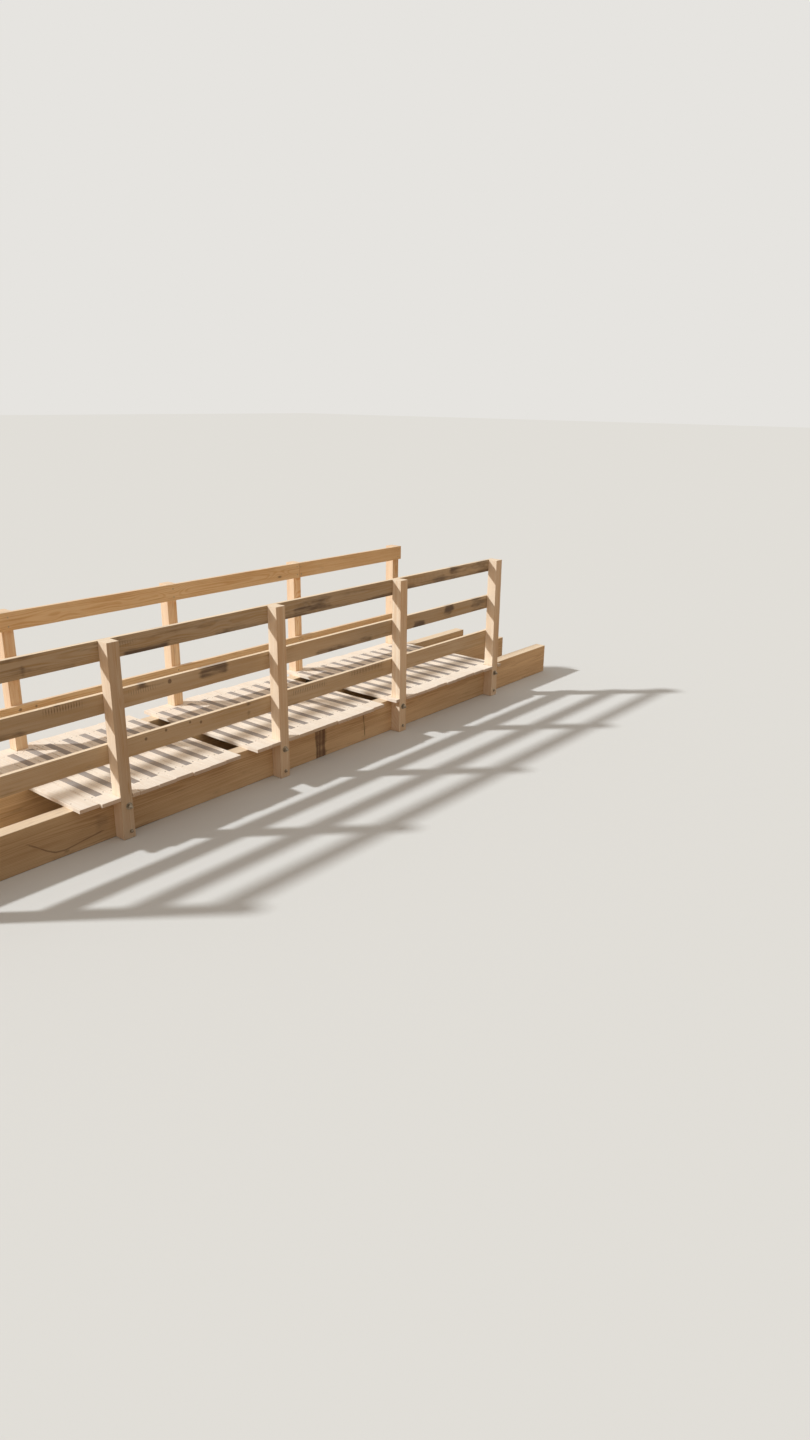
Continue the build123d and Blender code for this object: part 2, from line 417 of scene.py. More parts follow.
def mill_stain(tree, stained, patch, streak):
    """Grey-brown mill stains in soft patches that run out along the grain."""
    patchy = add(tree, "ShaderNodeMath", {0: stained, 1: 0.42, 2: patch},
                 operation="MULTIPLY_ADD")
    patchy = add(tree, "ShaderNodeMath", {0: streak, 1: 0.3, 2: patchy}, operation="MULTIPLY_ADD")
    return add(tree, "ShaderNodeMapRange",
               {"Value": patchy, "From Min": 0.74, "From Max": 1.12, "To Max": 0.9},
               interpolation_type="SMOOTHSTEP")


def roller_ticks(tree, ticked, lengthwise, patch):
    """Ticks that the feed rollers pressed in, on the boards that have them."""
    ragged = add(tree, "ShaderNodeMath", {0: patch, 1: 5.0}, operation="MULTIPLY")
    teeth = add(tree, "ShaderNodeMath",
                {0: lengthwise, 1: math.tau / (TICK_SPACING * MM), 2: ragged},
                operation="MULTIPLY_ADD")
    tooth = add(tree, "ShaderNodeMath", {0: teeth}, operation="SINE")
    tick = add(tree, "ShaderNodeMapRange", {"Value": tooth, "From Min": 0.4, "From Max": 0.95})
    return add(tree, "ShaderNodeMath", {0: tick, 1: ticked}, operation="MULTIPLY")


def own_spots(tree, own_knot, off_line, line_reach, streak):
    """The knots and dark lines that single boards have, with ragged rims."""
    knot_size = add(tree, "ShaderNodeSeparateXYZ", {0: own_knot}).outputs[2]
    way = add(tree, "ShaderNodeVectorMath", {0: own_knot, 1: (1, 1, 0)}, operation="MULTIPLY")
    off_knot = add(tree, "ShaderNodeVectorMath", {0: way}, operation="LENGTH").outputs["Value"]
    past_knot = add(tree, "ShaderNodeMath", {0: off_knot, 1: knot_size}, operation="SUBTRACT")
    gap = add(tree, "ShaderNodeMath", {0: off_line}, operation="ABSOLUTE")
    past_line = add(tree, "ShaderNodeMath", {0: gap, 1: line_reach}, operation="SUBTRACT")
    past = add(tree, "ShaderNodeMath", {0: past_knot, 1: past_line}, operation="MINIMUM")
    rim = add(tree, "ShaderNodeMath", {0: streak, 1: 12 * MM, 2: past}, operation="MULTIPLY_ADD")
    return add(tree, "ShaderNodeMapRange",
               {"Value": rim, "From Min": 11 * MM, "From Max": 2 * MM, "To Max": 0.7},
               interpolation_type="SMOOTHSTEP")


def sawn_timber(name, pale, wood):
    """Sawn oak straight from the mill: growth rings, fibres, knots, stains and saw marks.

    It follows each board's own grain, so that ends show rings and faces show streaks.
    """
    material, tree = new_material(name)
    grain, own_knot = [add(tree, "ShaderNodeAttribute", attribute_name=mark).outputs["Vector"]
                       for mark in PLACE_MARKS]
    stained, ticked, off_line, line_reach, edge, end, tone, dried = [
        add(tree, "ShaderNodeAttribute", attribute_name=mark).outputs["Fac"]
        for mark in POINT_MARKS + FACE_MARKS]
    bent, slow = bent_grain(tree, grain)
    lengthwise = add(tree, "ShaderNodeSeparateXYZ", {0: bent}).outputs[0]
    knot, ring = knots_and_rings(tree, bent, wood)
    broad = add(tree, "ShaderNodeTexNoise", {"Vector": slow, "Scale": 1.7, "Detail": 3})

    # Streaks, fibres and patches are drawn out along the grain.
    drawn_out = []
    for way, features, detail, roughness in (
            (bent, STREAKS, 3, 0.6), (bent, FIBRES, 2, 0.5), (grain, PATCHES, 4, 0.6)):
        long_way = add(tree, "ShaderNodeVectorMath", {0: way, 1: features}, operation="MULTIPLY")
        look = {"Vector": long_way, "Scale": 1, "Detail": detail, "Roughness": roughness}
        drawn_out.append(add(tree, "ShaderNodeTexNoise", look))
    streak, fibre, patch = drawn_out

    # Growth darkens the pale wood in rings, streaks, fibres and slow changes of tone.
    growth = add(tree, "ShaderNodeMath", {0: ring, 1: 0.22}, operation="MULTIPLY")
    for texture, share in ((streak, 0.8), (fibre, 0.3), (broad, 0.7)):
        growth = add(tree, "ShaderNodeMath", {0: texture, 1: share, 2: growth},
                     operation="MULTIPLY_ADD")
    shade = add(tree, "ShaderNodeMapRange", {"Value": growth, "From Min": 0.7, "From Max": 1.35},
                interpolation_type="SMOOTHSTEP")
    stain = mill_stain(tree, stained, patch, streak)
    spots = knot
    for dark in (own_spots(tree, own_knot, off_line, line_reach, streak),
                 roller_ticks(tree, ticked, lengthwise, patch)):
        spots = add(tree, "ShaderNodeMath", {0: spots, 1: dark}, operation="MAXIMUM")

    # Faces towards the lamp are paler as painted light, arrises paler as wear and a painted
    # highlight, and sawn ends a little darker.
    wear_and_highlight = add(tree, "ShaderNodeMath", {0: edge, 1: 0.45}, operation="MULTIPLY")
    cut = add(tree, "ShaderNodeMath", {0: end, 1: wood["ends"]}, operation="MULTIPLY")
    colour = (*pale, 1)
    for share, over in ((shade, wood["dark"]), (stain, wood["stain"]), (spots, DARK_SPOT),
                        (dried, PAINTED_HIGHLIGHT_COLOUR), (wear_and_highlight, WORN_AND_HIGHLIT_EDGE), (cut, SAWN_END)):
        colour = add(tree, "ShaderNodeMix", {0: share, 6: colour, 7: (*linear(over), 1)},
                     data_type="RGBA").outputs[2]
    # Painted shade: faces turned from the lamp are scaled darker or brighter by their painted
    # shade.
    shade_scale = add(tree, "ShaderNodeMath", {0: tone, 1: 1.0})
    shaded_colour = add(tree, "ShaderNodeVectorMath", {0: colour, 3: shade_scale}, operation="SCALE")

    # Open fibres scatter the light: dull all over, duller in the streaks.
    dull = add(tree, "ShaderNodeMapRange", {"Value": streak, "To Min": 0.68, "To Max": 0.9})

    # Saw marks run across the grain, with the fibres standing between them.
    saw_drift = add(tree, "ShaderNodeMath", {0: broad, 1: 12.0}, operation="MULTIPLY")
    saw_turn = add(tree, "ShaderNodeMath",
                   {0: lengthwise, 1: math.tau / (SAW_SPACING * MM), 2: saw_drift},
                   operation="MULTIPLY_ADD")
    saw = add(tree, "ShaderNodeMath", {0: saw_turn}, operation="SINE")
    height = add(tree, "ShaderNodeMath", {0: saw, 1: 0.25, 2: fibre}, operation="MULTIPLY_ADD")
    height = add(tree, "ShaderNodeMath", {0: ring, 1: -0.3, 2: height}, operation="MULTIPLY_ADD")
    bump = add(tree, "ShaderNodeBump",
               {"Height": height, "Strength": 0.6, "Distance": RELIEF * MM})
    end_material(tree, {"Base Color": shaded_colour, "Roughness": dull, "IOR": 1.5, "Normal": bump})
    return material


def gritted_resin(name, base):
    """Mineral grit in resin, cast as a strip: dark, matt and rough, with pale grains and dust."""
    material, tree = new_material(name)
    place = add(tree, "ShaderNodeTexCoord").outputs["Object"]
    # Grains are about 1 mm, drawn at 3 mm, or 330 to the metre, so that they show.
    grit = add(tree, "ShaderNodeTexVoronoi", {"Vector": place, "Scale": 330}).outputs
    grain_tone = add(tree, "ShaderNodeSeparateXYZ", {0: grit["Color"]})
    pale = add(tree, "ShaderNodeMapRange",
               {"Value": grain_tone, "From Min": 0.55, "From Max": 1, "To Max": 0.5})
    dust = add(tree, "ShaderNodeTexNoise", {"Vector": place, "Scale": 9, "Detail": 4})
    dusty = add(tree, "ShaderNodeMapRange",
                {"Value": dust, "From Min": 0.4, "From Max": 0.75, "To Max": 0.5})
    colour = (*base, 1)
    for share, over in ((pale, PALE_GRIT), (dusty, DUST)):
        colour = add(tree, "ShaderNodeMix", {0: share, 6: colour, 7: (*linear(over), 1)},
                     data_type="RGBA").outputs[2]
    bump = add(tree, "ShaderNodeBump",
               {"Height": grit["Distance"], "Strength": 0.8, "Distance": 1 * MM})
    end_material(tree, {"Base Color": colour, "Roughness": 0.9, "Normal": bump})
    return material


def zinc_plated_steel(name, base):
    """Zinc-plated steel left outdoors: dull grey with darker patches and soft reflections."""
    material, tree = new_material(name)
    place = add(tree, "ShaderNodeTexCoord").outputs["Object"]
    # The patches are some 14 mm wide, so 70 to the metre.
    bloom = add(tree, "ShaderNodeTexNoise", {"Vector": place, "Scale": 70, "Detail": 4})
    dark = add(tree, "ShaderNodeMapRange", {"Value": bloom, "From Min": 0.35, "From Max": 0.7})
    colour = add(tree, "ShaderNodeMix", {0: dark, 6: (*base, 1), 7: (*linear(DARK_ZINC), 1)},
                 data_type="RGBA").outputs[2]
    dull = add(tree, "ShaderNodeMapRange", {"Value": bloom, "To Min": 0.38, "To Max": 0.62})
    bump = add(tree, "ShaderNodeBump", {"Height": bloom, "Strength": 0.3, "Distance": 0.5 * MM})
    end_material(tree, {"Base Color": colour, "Metallic": 1.0, "Roughness": dull, "Normal": bump})
    return material


def material_once(name, make, *values):
    """The material of that name, made the first time that it is asked for."""
    return bpy.data.materials.get(name) or make(name, *values)


def timber_material(kind):
    """The sawn oak of one kind of board."""
    pale = getattr(bpy.context.scene.footbridge_timber, f"{kind}_colour")
    return material_once(f"sawn_oak_{kind}", sawn_timber, pale, WOODS[kind])


def timber_layers(bm):
    """The layers that hold a board's marks."""
    points, faces = bm.verts.layers, bm.faces.layers
    kinds = ((points.float_vector, PLACE_MARKS), (points.float, POINT_MARKS),
             (faces.float, FACE_MARKS))
    return {name: kind.new(name) for kind, names in kinds for name in names}


def patch_strength(x, z, patches):
    """How strong the soft-edged patches are at a place on a board."""
    strongest = 0.0
    for left, right, low, high, strength in patches:
        inward = min(min(x - left, right - x) / PATCH_EDGE[0],
                     min(z - low, high - z) / PATCH_EDGE[1])
        strongest = max(strongest, strength * min(max(inward, 0), 1))
    return strongest


def painted_shade_at(x, changes):
    """The painted shade that a board has at a place, between the places where it is given."""
    for (start, first), (end, second) in zip(changes, changes[1:]):
        if start <= x <= end:
            return first + (second - first) * (x - start) / (end - start)
    return 0.0


def nearest_knot(x, z, knots):
    """How far along and up a place is from the nearest knot, and how large that knot is."""
    nearest = (FAR_OFF, FAR_OFF, NOTHING_NEAR)
    for knot_x, knot_z, radius in knots:
        off = math.hypot(x - knot_x, z - knot_z)
        if off < math.hypot(nearest[0], nearest[1]):
            nearest = (x - knot_x, z - knot_z, radius if off < radius + NEAR else NOTHING_NEAR)
    return nearest


def nearest_line(x, z, lines):
    """How far a place is off the nearest dark line, with a sign for the side, and its reach."""
    place = Vector((x, z))
    nearest = (FAR_OFF, NOTHING_NEAR)
    for width, line in lines:
        points = [Vector(point) for point in line]
        for start, end in zip(points, points[1:]):
            run = end - start
            share = min(max((place - start).dot(run) / run.length_squared, 0), 1)
            away = place - start - share * run
            if away.length - width / 2 < abs(nearest[0]) - nearest[1]:
                side = math.copysign(1, run.x * away.y - run.y * away.x)
                reach = width / 2 if away.length < width / 2 + NEAR else NOTHING_NEAR
                nearest = (side * away.length, reach)
    return nearest


def mark_board(bm, verts, axes, layers, rng, tone, heart_off, marks, arris):
    """Marks one board's grain, painted shade and light, stains, worn and highlit edges and sawn
    ends.

    The axes run along, across and through the board, and heart_off is how far off the trunk's
    heart lies.
    """
    foot = min(v.co.z for v in verts)
    spans = []
    for axis in axes:
        reach = [v.co.dot(axis) for v in verts]
        spans.append((min(reach), max(reach)))
    middle = [(low + high) / 2 for low, high in spans]
    half = [(high - low) / 2 for low, high in spans]
    turn = rng.uniform(0, math.tau)
    heart = (heart_off * math.cos(turn), heart_off * math.sin(turn))
    start = rng.uniform(*GRAIN_STARTS)
    for vert in verts:
        local = [vert.co.dot(axis) - centre for axis, centre in zip(axes, middle)]
        vert[layers["grain"]] = (local[0] + start, local[1] + heart[0], local[2] + heart[1])
        x, z = vert.co.x / MM, (vert.co.z - foot) / MM
        vert[layers["stained"]] = patch_strength(x, z, marks.get("stains", []))
        vert[layers["ticked"]] = patch_strength(x, z, marks.get("ticks", []))
        vert[layers["knot"]] = Vector(nearest_knot(x, z, marks.get("knots", []))) * MM
        off_line, line_reach = nearest_line(x, z, marks.get("lines", []))
        vert[layers["off_line"]] = off_line * MM
        vert[layers["line_reach"]] = line_reach * MM
        depth = [half[i] - abs(local[i]) for i in (1, 2)]
        on_arris = all(PALE_ARRIS_BAND[0] * arris < d < PALE_ARRIS_BAND[1] * arris for d in depth)
        vert[layers["edge"]] = 1.0 if on_arris else 0.0
    bm.normal_update()
    changes = marks.get("painted_shade_along", [])
    for face in {f for v in verts for f in v.link_faces}:
        sawn_end = abs(face.normal.dot(axes[0])) > SAWN_ACROSS
        face[layers["end"]] = 1.0 if sawn_end else 0.0
        # Faces turned to the lamp get the painted highlight, the others the painted shade.
        to_sun = min(max(face.normal.dot(Vector(SUN_FROM)), 0) / FULL_SUN, 1)
        here = tone + painted_shade_at(face.calc_center_median().x / MM, changes)
        face[layers["tone"]] = here * (1 - to_sun)
        face[layers["dried"]] = PAINTED_HIGHLIGHT_SHARE * to_sun


def saw_uneven(verts, axes, settings, seed):
    """Moves the faces a little, as the saw left them, but not along the board."""
    drift = Vector([seed * share for share in DRIFT])
    for vert in verts:
        push = noise.noise_vector(vert.co / settings.wander + drift) * settings.unevenness
        vert.co += push.dot(axes[1]) * axes[1] + push.dot(axes[2]) * axes[2]


def ease(bm, edges, width, segments, clamp=False):
    """Rounds edges over by a width, or by less where they are too close and clamped."""
    bmesh.ops.bevel(bm, geom=edges, offset=width, offset_type="OFFSET", segments=segments,
                    profile=0.5, affect="EDGES", material=-1, clamp_overlap=clamp)


def edges_along(bm, axis, shortest):
    """The edges that run along an axis and are longer than the shortest."""
    runs = [(e, e.verts[1].co - e.verts[0].co) for e in bm.edges]
    return [e for e, run in runs
            if run.length > shortest and abs(run.normalized().dot(axis)) > SAME_WAY]


def sawn_board(node, settings, arris, seed, tone, heart_off):
    """A straight board in a node's place, with eased edges and marks for its material."""
    marks = MARKS.get(node, {})
    step = settings.fine_step if marks else settings.step
    low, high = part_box(node)
    size = high - low
    order = sorted(range(3), key=lambda i: -size[i])
    axes = [WORLD_AXES[i] for i in order]
    bm = bmesh.new()
    centre = Matrix.Translation((low + high) / 2)
    bmesh.ops.create_cube(bm, size=1, matrix=centre @ Matrix.Diagonal((*size, 1)))
    layers = timber_layers(bm)
    ease(bm, edges_along(bm, axes[0], 0), arris, 2)
    rims = [e for e in bm.edges
            if any(abs(f.normal.dot(axes[0])) > SAME_WAY for f in e.link_faces)]
    ease(bm, rims, settings.end_arris, 1)
    for axis, length, spacing in ((axes[1], size[order[1]], 1.5 * step),
                                  (axes[2], size[order[2]], 1.5 * step),
                                  (axes[0], size[order[0]], step)):
        edges = edges_along(bm, axis, 1.5 * spacing)
        if edges:
            bmesh.ops.subdivide_edges(bm, edges=edges, cuts=round(length / spacing) - 1,
                                      use_grid_fill=True)
    rng = random.Random(seed)
    mark_board(bm, bm.verts[:], axes, layers, rng, tone, heart_off, marks, arris)
    saw_uneven(bm.verts, axes, settings, seed)
    return bm


def new_piece(name, bm, material, nodes=(), sharp=SHARP_ON_BOARDS):
    """Turns a bmesh into a piece that rides on the bridge and stands for its nodes."""
    mesh = as_mesh(name, bm)
    mesh.polygons.foreach_set("use_smooth", [True] * len(mesh.polygons))
    mesh.set_sharp_from_angle(angle=math.radians(sharp))
    piece = bpy.data.objects.new(name, mesh)
    bpy.context.scene.collection.objects.link(piece)
    mesh.materials.append(material)
    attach(piece, "root")
    if nodes:
        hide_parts(*nodes)


def as_mesh(name, bm):
    """A mesh from a bmesh, with its faces pointing outwards."""
    bmesh.ops.recalc_face_normals(bm, faces=bm.faces[:])
    mesh = bpy.data.meshes.new(name)
    bm.to_mesh(mesh)
    bm.free()
    return mesh


def add_boards(kind, arris, heart_off, boards):
    """Adds the boards of one kind, each given by its node, its seed and its painted shade."""
    for node, seed, tone in boards:
        bm = sawn_board(node, bpy.context.scene.footbridge_timber, arris, seed, tone, heart_off)
        new_piece(f"{node}_sawn", bm, timber_material(kind), [node])


def islands(bm):
    """The separate solids of a mesh, as lists of vertices, in order along the bridge."""
    left = set(bm.verts)
    found = []
    while left:
        start = left.pop()
        group, waiting = [start], [start]
        while waiting:
            for link in waiting.pop().link_edges:
                for vert in link.verts:
                    if vert in left:
                        left.remove(vert)
                        group.append(vert)
                        waiting.append(vert)
        found.append(group)
    return sorted(found, key=lambda verts: sum(v.co.x for v in verts) / len(verts))


def merged_copy(node):
    """A copy of a node's mesh with its loose triangles joined and its flat faces made whole."""
    bm = bmesh.new()
    bm.from_mesh(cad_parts[node].data)
    bmesh.ops.remove_doubles(bm, verts=bm.verts[:], dist=WELD)
    bmesh.ops.dissolve_limit(bm, angle_limit=math.radians(1), verts=bm.verts[:],
                             edges=bm.edges[:])
    return bm


def sawn_planks(node, settings):
    """The planks of one deck node, with eased edges and marks for their material."""
    bm = merged_copy(node)
    layers = timber_layers(bm)
    corners = [e for e in bm.edges if e.is_manifold and e.is_convex
               and e.calc_face_angle(0) > CORNER_TURN and e.calc_length() > CORNER_LENGTH]
    ease(bm, corners, settings.board_arris, 2, clamp=True)
    along = PLANK_AXES[0]
    reach = [v.co.dot(along) for v in bm.verts]
    first, length = min(reach), max(reach) - min(reach)
    count = round(length / (2 * settings.step))
    for cut in range(1, count):
        bmesh.ops.bisect_plane(bm, geom=bm.verts[:] + bm.edges[:] + bm.faces[:],
                               plane_co=along * (first + length * cut / count), plane_no=along)
    group = int(node.rsplit("_", 1)[1])
    for number, verts in enumerate(islands(bm)):
        seed = 10 * group + number
        rng = random.Random(PLANK_SEED + seed)
        # Each plank's painted shade, on its faces turned from the lamp, is drawn at random.
        tone, heart_off = rng.uniform(*PLANK_PAINTED_SHADE), rng.uniform(*PLANK_HEARTS)
        mark_board(bm, verts, PLANK_AXES, layers, rng, tone, heart_off, {}, settings.board_arris)
        saw_uneven(verts, PLANK_AXES, settings, seed)
    return bm


def turned(outline, sides):
    """A turned part standing on the origin, from its outline of radius and height pairs."""
    bm = bmesh.new()
    verts = [bm.verts.new((radius, 0, height)) for radius, height in outline]
    edges = [bm.edges.new(pair) for pair in zip(verts, verts[1:])]
    bmesh.ops.spin(bm, geom=verts + edges, cent=(0, 0, 0), axis=(0, 0, 1), angle=math.tau,
                   steps=sides, use_merge=True)
    bmesh.ops.remove_doubles(bm, verts=bm.verts[:], dist=WELD)
    return as_mesh("part", bm)


def add_copies(bm, part, places):
    """Adds a copy of a part at each place, then drops the part."""
    for place in places:
        copy = part.copy()
        copy.transform(place)
        bm.from_mesh(copy)
        bpy.data.meshes.remove(copy)
    bpy.data.meshes.remove(part)


def washer(hole, width, thickness):
    """A flat washer with its outer rim eased."""
    inner, outer, rim = hole / 2, width / 2, 0.6 * MM
    outline = [(inner, 0), (inner, thickness), (outer - rim, thickness),
               (outer, thickness - rim), (outer, 0), (inner, 0)]
    return turned(outline, WASHER_SIDES)


def hexagon_nut(flats, height):
    """A hexagon nut with chamfered faces."""
    chamfer = height / 16
    radius = flats / 2 / math.cos(math.pi / 6)
    bm = bmesh.new()
    middle = Matrix.Translation((0, 0, height / 2))
    bmesh.ops.create_cone(bm, cap_ends=True, cap_tris=False, segments=6, radius1=radius,
                          radius2=radius, depth=height - 2 * chamfer, matrix=middle)
    bm.normal_update()
    for cap in [f for f in bm.faces if len(f.verts) == 6]:
        bmesh.ops.inset_region(bm, faces=[cap], thickness=2 * chamfer, depth=chamfer,
                               use_even_offset=True)
    return as_mesh("part", bm)


def threaded_rod(width, length, settings):
    """A rod with its thread cut where it shows at both ends."""
    radius, pitch = width / 2, settings.pitch
    root = radius - settings.thread_depth
    thread = [(0, 0), (root, 0)]
    for turn in range(THREAD_TURNS):
        thread += [(radius, (turn + CREST) * pitch), (root, (turn + ROOT) * pitch)]
    thread.append((radius, (THREAD_TURNS + RUN_OUT) * pitch))
    outline = thread + [(r, length - height) for r, height in reversed(thread)]
    return turned(outline, ROD_SIDES)


def screw_head(width):
    """A screw's head, nearly flush with the wood, with a round recess for the bit."""
    outline = [(0, -1.6), (0.38, -1.4), (0.42, 0.3), (0.86, 0.3), (1, -0.3), (1, -2.5), (0, -3)]
    return turned([(share * width / 2, z * MM) for share, z in outline], SCREW_SIDES)


def facing(point, direction):
    """The place at a point for a part that stands out along a direction."""
    turn = Vector(direction).to_track_quat("Z", "Y").to_matrix().to_4x4()
    return Matrix.Translation(point) @ turn


def rod_spans(node):
    """The lowest and highest corner of each rod in a node."""
    bm = merged_copy(node)
    spans = []
    for verts in islands(bm):
        low = Vector([min(v.co[i] for v in verts) for i in range(3)])
        high = Vector([max(v.co[i] for v in verts) for i in range(3)])
        spans.append((low, high))
    bm.free()
    return spans


def add_rods(bm, level, rods, seats, settings):
    """Adds one level's threaded rods, with a washer and a nut on each seat that they leave.

    The seats are pairs of the timber's face across the bridge and the way out of it.
    """
    width = rods[0][1].x - rods[0][0].x
    length = rods[0][1].y - rods[0][0].y
    thick = getattr(settings, f"{level}_washer_t")
    starts = [Vector(((low.x + high.x) / 2, low.y, (low.z + high.z) / 2)) for low, high in rods]
    add_copies(bm, threaded_rod(width, length, settings),
               [facing(start, (0, 1, 0)) for start in starts])
    ends = [(start.x, y, start.z, out) for start in starts for y, out in seats]
    disc = washer(width + WASHER_PLAY, getattr(settings, f"{level}_washer"), thick)
    add_copies(bm, disc, [facing((x, y, z), (0, out, 0)) for x, y, z, out in ends])
    nut = hexagon_nut(getattr(settings, f"{level}_nut"), getattr(settings, f"{level}_nut_h"))
    add_copies(bm, nut, [facing((x, y + out * thick, z), (0, out, 0)) for x, y, z, out in ends])


def rail_screw_places(rng):
    """Where the screws stand that hold the rails to the posts."""
    places = []
    for side, sign in SIDES.items():
        posts = [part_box(f"{side}_post_{number}") for number in POSTS]
        for level, length in RAILS:
            low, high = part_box(f"{side}_{level}_rail_{length}")
            face = high.y if sign < 0 else low.y
            for post_low, post_high in posts:
                left, right = max(post_low.x, low.x), min(post_high.x, high.x)
                if right - left < LEAST_HOLD:
                    continue
                for share in RAIL_SCREWS:
                    x = (left + right) / 2 + rng.uniform(-1, 1) * RAIL_STRAY[0]
                    z = low.z + (high.z - low.z) * share + rng.uniform(-1, 1) * RAIL_STRAY[1]
                    places.append(facing((x, face, z), (0, -sign, 0)))
    return places


def deck_screw_places(rng):
    """Where the screws stand that hold the planks to the beams."""
    places = []
    beams = [sum(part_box(f"{name}_beam"), Vector()) / 2 for name in BEAMS]
    for node in DECK_NODES:
        planks = merged_copy(node)
        top = max(v.co.z for v in planks.verts)
        for verts in islands(planks):
            across = [v.co.x for v in verts]
            middle, half = (min(across) + max(across)) / 2, (max(across) - min(across)) / 2
            for beam in beams:
                for out in (-1, 1):
                    x = middle + out * (half - SCREW_IN) + rng.uniform(-1, 1) * DECK_STRAY[0]
                    y = beam.y + rng.uniform(-1, 1) * DECK_STRAY[1]
                    places.append(facing((x, y, top), (0, 0, 1)))
        planks.free()
    return places


def steel_material():
    """The steel that the rods, nuts, washers and screws share."""
    settings = bpy.context.scene.footbridge_fixings
    return material_once("zinc_plated_steel", zinc_plated_steel, settings.steel_colour)


def seen_directly(tree):
    """1 where a ray shows a surface to the eye, straight or in a gloss, and 0 where it lights."""
    rays = add(tree, "ShaderNodeLightPath").outputs
    return add(tree, "ShaderNodeMath", {0: rays["Is Camera Ray"], 1: rays["Is Glossy Ray"]},
               operation="MAXIMUM")


def lay_floor(scene, settings):
    """A matt painted studio floor: pale to the eye, without gloss, and warm in its bounce."""
    bm = bmesh.new()
    bmesh.ops.create_grid(bm, x_segments=1, y_segments=1, size=settings.floor_size / 2,
                          matrix=Matrix.Translation((0, 0, -settings.floor_drop)))
    mesh = bpy.data.meshes.new("floor")
    bm.to_mesh(mesh)
    bm.free()
    floor = bpy.data.objects.new("floor", mesh)
    scene.collection.objects.link(floor)
    material, tree = new_material("painted_floor")
    colour = add(tree, "ShaderNodeMix",
                 {0: seen_directly(tree), 6: (*settings.bounce_colour, 1),
                  7: (*settings.floor_colour, 1)}, data_type="RGBA").outputs[2]
    end_material(tree, {"Base Color": colour, "Roughness": 1.0, "Specular IOR Level": 0.0})
    mesh.materials.append(material)


def light_evenly(scene, settings):
    """Even light from all round, with a plain background of its own."""
    world = bpy.data.worlds.new("studio")
    world.use_nodes = True
    tree = world.node_tree
    tree.nodes.clear()
    even = add(tree, "ShaderNodeBackground",
               {"Color": (*settings.sky_colour, 1), "Strength": settings.sky_strength})
    back = add(tree, "ShaderNodeBackground", {"Color": (*settings.back_colour, 1), "Strength": 1})
    both = add(tree, "ShaderNodeMixShader", {0: seen_directly(tree), 1: even, 2: back})
    add(tree, "ShaderNodeOutputWorld", {"Surface": both})
    scene.world = world


def hang_lamp(scene, settings):
    """One broad lamp that throws the soft shadows."""
    lamp = bpy.data.lights.new("window_light", "SUN")
    lamp.energy = settings.sun_strength
    lamp.angle = settings.sun_softness
    sun = bpy.data.objects.new("window_light", lamp)
    sun.rotation_euler = Vector(settings.sun_from).to_track_quat("Z", "Y").to_euler()
    scene.collection.objects.link(sun)


def set_camera(scene, settings):
    """The camera where the bridge was seen from."""
    lens = bpy.data.cameras.new("camera")
    lens.sensor_fit = "VERTICAL"
    lens.sensor_height = SENSOR
    lens.lens = settings.lens
    lens.clip_end = SIGHT
    camera = bpy.data.objects.new("camera", lens)
    camera.matrix_world = (
        Matrix.Translation(settings.eye)
        @ Matrix.Rotation(-settings.heading, 4, "Z")
        @ Matrix.Rotation(math.pi / 2 - settings.tilt, 4, "X")
        @ Matrix.Rotation(-settings.roll, 4, "Z"))
    scene.collection.objects.link(camera)
    scene.camera = camera


class FOOTBRIDGE_OT_stage(bpy.types.Operator):
    """Sets the floor, background, lamp and camera"""

    bl_idname = "footbridge.stage"
    bl_label = "Stage"

    def execute(self, context):
        scene = context.scene
        scene.view_settings.view_transform = "Standard"
        for build in (lay_floor, light_evenly, hang_lamp, set_camera):
            build(scene, scene.footbridge_stage)
        return {"FINISHED"}


class FOOTBRIDGE_OT_beams(bpy.types.Operator):
    """Builds the three long beams"""

    bl_idname = "footbridge.beams"
    bl_label = "Beams"

    def execute(self, context):
        boards = [(f"{name}_beam", BEAM_SEED + i, BEAM_PAINTED_SHADE[i]) for i, name in enumerate(BEAMS)]
        arris = context.scene.footbridge_timber.arris
        add_boards("beams", arris, BEAM_HEART, boards)
        return {"FINISHED"}


class FOOTBRIDGE_OT_posts(bpy.types.Operator):
    """Builds the ten posts"""

    bl_idname = "footbridge.posts"
    bl_label = "Posts"

    def execute(self, context):
        arris = context.scene.footbridge_timber.arris
        for side in SIDES:
            boards = [(f"{side}_post_{number}", POST_SEEDS[side] + number, tone)
                      for number, tone in zip(POSTS, POST_PAINTED_SHADE[side])]
            add_boards(f"{side}_posts", arris, POST_HEART, boards)
        return {"FINISHED"}


class FOOTBRIDGE_OT_rails(bpy.types.Operator):
    """Builds the twelve rail boards"""

    bl_idname = "footbridge.rails"
    bl_label = "Rails"

    def execute(self, context):
        arris = context.scene.footbridge_timber.board_arris
        for side in SIDES:
            boards = [(f"{side}_{level}_rail_{length}", RAIL_SEEDS[side] + i, RAIL_PAINTED_SHADE[side][i])
                      for i, (level, length) in enumerate(RAILS)]
            add_boards(f"{side}_rails", arris, RAIL_HEART, boards)
        return {"FINISHED"}


class FOOTBRIDGE_OT_deck(bpy.types.Operator):
    """Builds the deck planks with their notches and grooves"""

    bl_idname = "footbridge.deck"
    bl_label = "Deck planks"

    def execute(self, context):
        for node in DECK_NODES:
            bm = sawn_planks(node, context.scene.footbridge_timber)
            new_piece(f"{node}_sawn", bm, timber_material("planks"), [node])
        return {"FINISHED"}


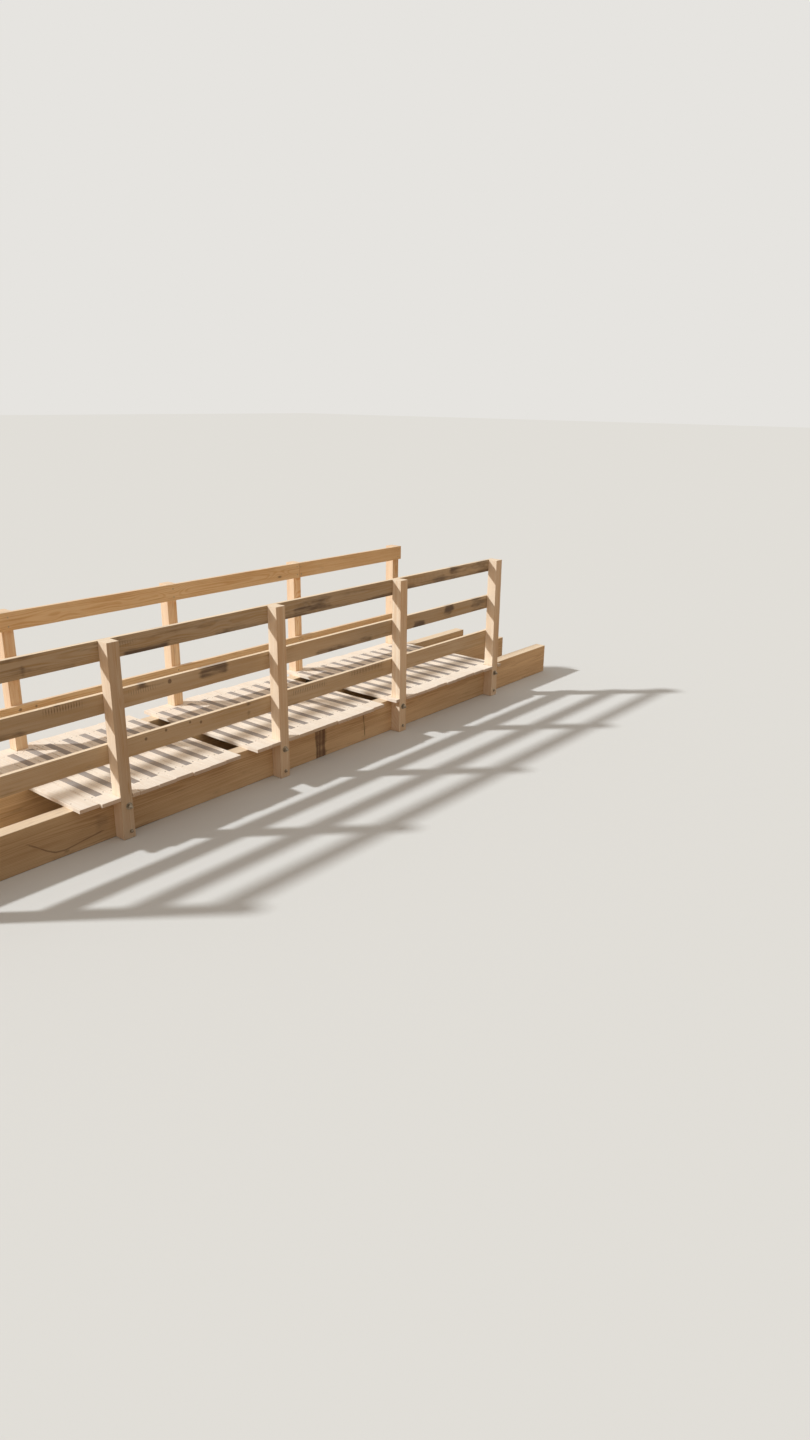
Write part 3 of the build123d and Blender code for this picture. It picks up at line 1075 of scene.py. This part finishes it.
class FOOTBRIDGE_OT_strips(bpy.types.Operator):
    """Builds the grip strips in the deck"""

    bl_idname = "footbridge.strips"
    bl_label = "Grip strips"

    def execute(self, context):
        settings = context.scene.footbridge_strips
        material = material_once("gritted_resin_strips", gritted_resin, settings.colour)
        bm = merged_copy("grip_strips")
        top = max(v.co.z for v in bm.verts)
        rims = [e for e in bm.edges if all(v.co.z > top - HAIR for v in e.verts)]
        ease(bm, rims, settings.edge, 2)
        new_piece("grip_strips_gritted", bm, material, ["grip_strips"],
                  SHARP_ON_FIXINGS)
        return {"FINISHED"}


class FOOTBRIDGE_OT_rods(bpy.types.Operator):
    """Builds the threaded rods with a washer and a nut at each end"""

    bl_idname = "footbridge.rods"
    bl_label = "Rods, nuts and washers"

    def execute(self, context):
        settings = context.scene.footbridge_fixings
        for side, sign in SIDES.items():
            node = f"{side}_rods"
            spans = rod_spans(node)
            post_low, post_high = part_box(f"{side}_post_1")
            beam_low, beam_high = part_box(f"{side}_beam")
            outer = post_low.y if sign < 0 else post_high.y
            inner = beam_high.y if sign < 0 else beam_low.y
            widest = max(high.x - low.x for low, high in spans)
            bm = bmesh.new()
            for level in ("upper", "lower"):
                rods = [(low, high) for low, high in spans
                        if (high.x - low.x > THICK * widest) == (level == "upper")]
                add_rods(bm, level, rods, ((outer, sign), (inner, -sign)), settings)
            new_piece(f"{side}_rods_nuts_washers", bm, steel_material(), [node],
                      SHARP_ON_FIXINGS)
        return {"FINISHED"}


class FOOTBRIDGE_OT_screws(bpy.types.Operator):
    """Builds the screws that hold the rails to the posts and the planks to the beams"""

    bl_idname = "footbridge.screws"
    bl_label = "Screws"

    def execute(self, context):
        settings = context.scene.footbridge_fixings
        rng = random.Random(SCREW_SEED)
        for name, find_places in (("rail_screws", rail_screw_places),
                                  ("deck_screws", deck_screw_places)):
            bm = bmesh.new()
            add_copies(bm, screw_head(settings.screw), find_places(rng))
            new_piece(name, bm, steel_material(), sharp=SHARP_ON_FIXINGS)
        return {"FINISHED"}


class FOOTBRIDGE_PT_builder(bpy.types.Panel):
    """Lists the builders in the sidebar"""

    bl_label = "Footbridge"
    bl_idname = "FOOTBRIDGE_PT_builder"
    bl_space_type = "VIEW_3D"
    bl_region_type = "UI"
    bl_category = "Footbridge"

    def draw(self, context):
        for operator in OPERATORS:
            self.layout.operator(operator.bl_idname)


OPERATORS = (
    FOOTBRIDGE_OT_stage,
    FOOTBRIDGE_OT_beams,
    FOOTBRIDGE_OT_posts,
    FOOTBRIDGE_OT_rails,
    FOOTBRIDGE_OT_deck,
    FOOTBRIDGE_OT_strips,
    FOOTBRIDGE_OT_rods,
    FOOTBRIDGE_OT_screws,
)
SETTINGS = {
    "footbridge_timber": TimberSettings,
    "footbridge_fixings": FixingSettings,
    "footbridge_strips": StripSettings,
    "footbridge_stage": StageSettings,
}


def register():
    for kind in (*SETTINGS.values(), *OPERATORS, FOOTBRIDGE_PT_builder):
        bpy.utils.register_class(kind)
    for name, kind in SETTINGS.items():
        setattr(bpy.types.Scene, name, PointerProperty(type=kind))


def unregister():
    for name in SETTINGS:
        delattr(bpy.types.Scene, name)
    for kind in reversed((*SETTINGS.values(), *OPERATORS, FOOTBRIDGE_PT_builder)):
        bpy.utils.unregister_class(kind)


def main():
    """Builds the whole bridge."""
    register()
    bpy.ops.footbridge.stage()
    bpy.ops.footbridge.beams()
    bpy.ops.footbridge.posts()
    bpy.ops.footbridge.rails()
    bpy.ops.footbridge.deck()
    bpy.ops.footbridge.strips()
    bpy.ops.footbridge.rods()
    bpy.ops.footbridge.screws()


if __name__ == "__main__":
    main()
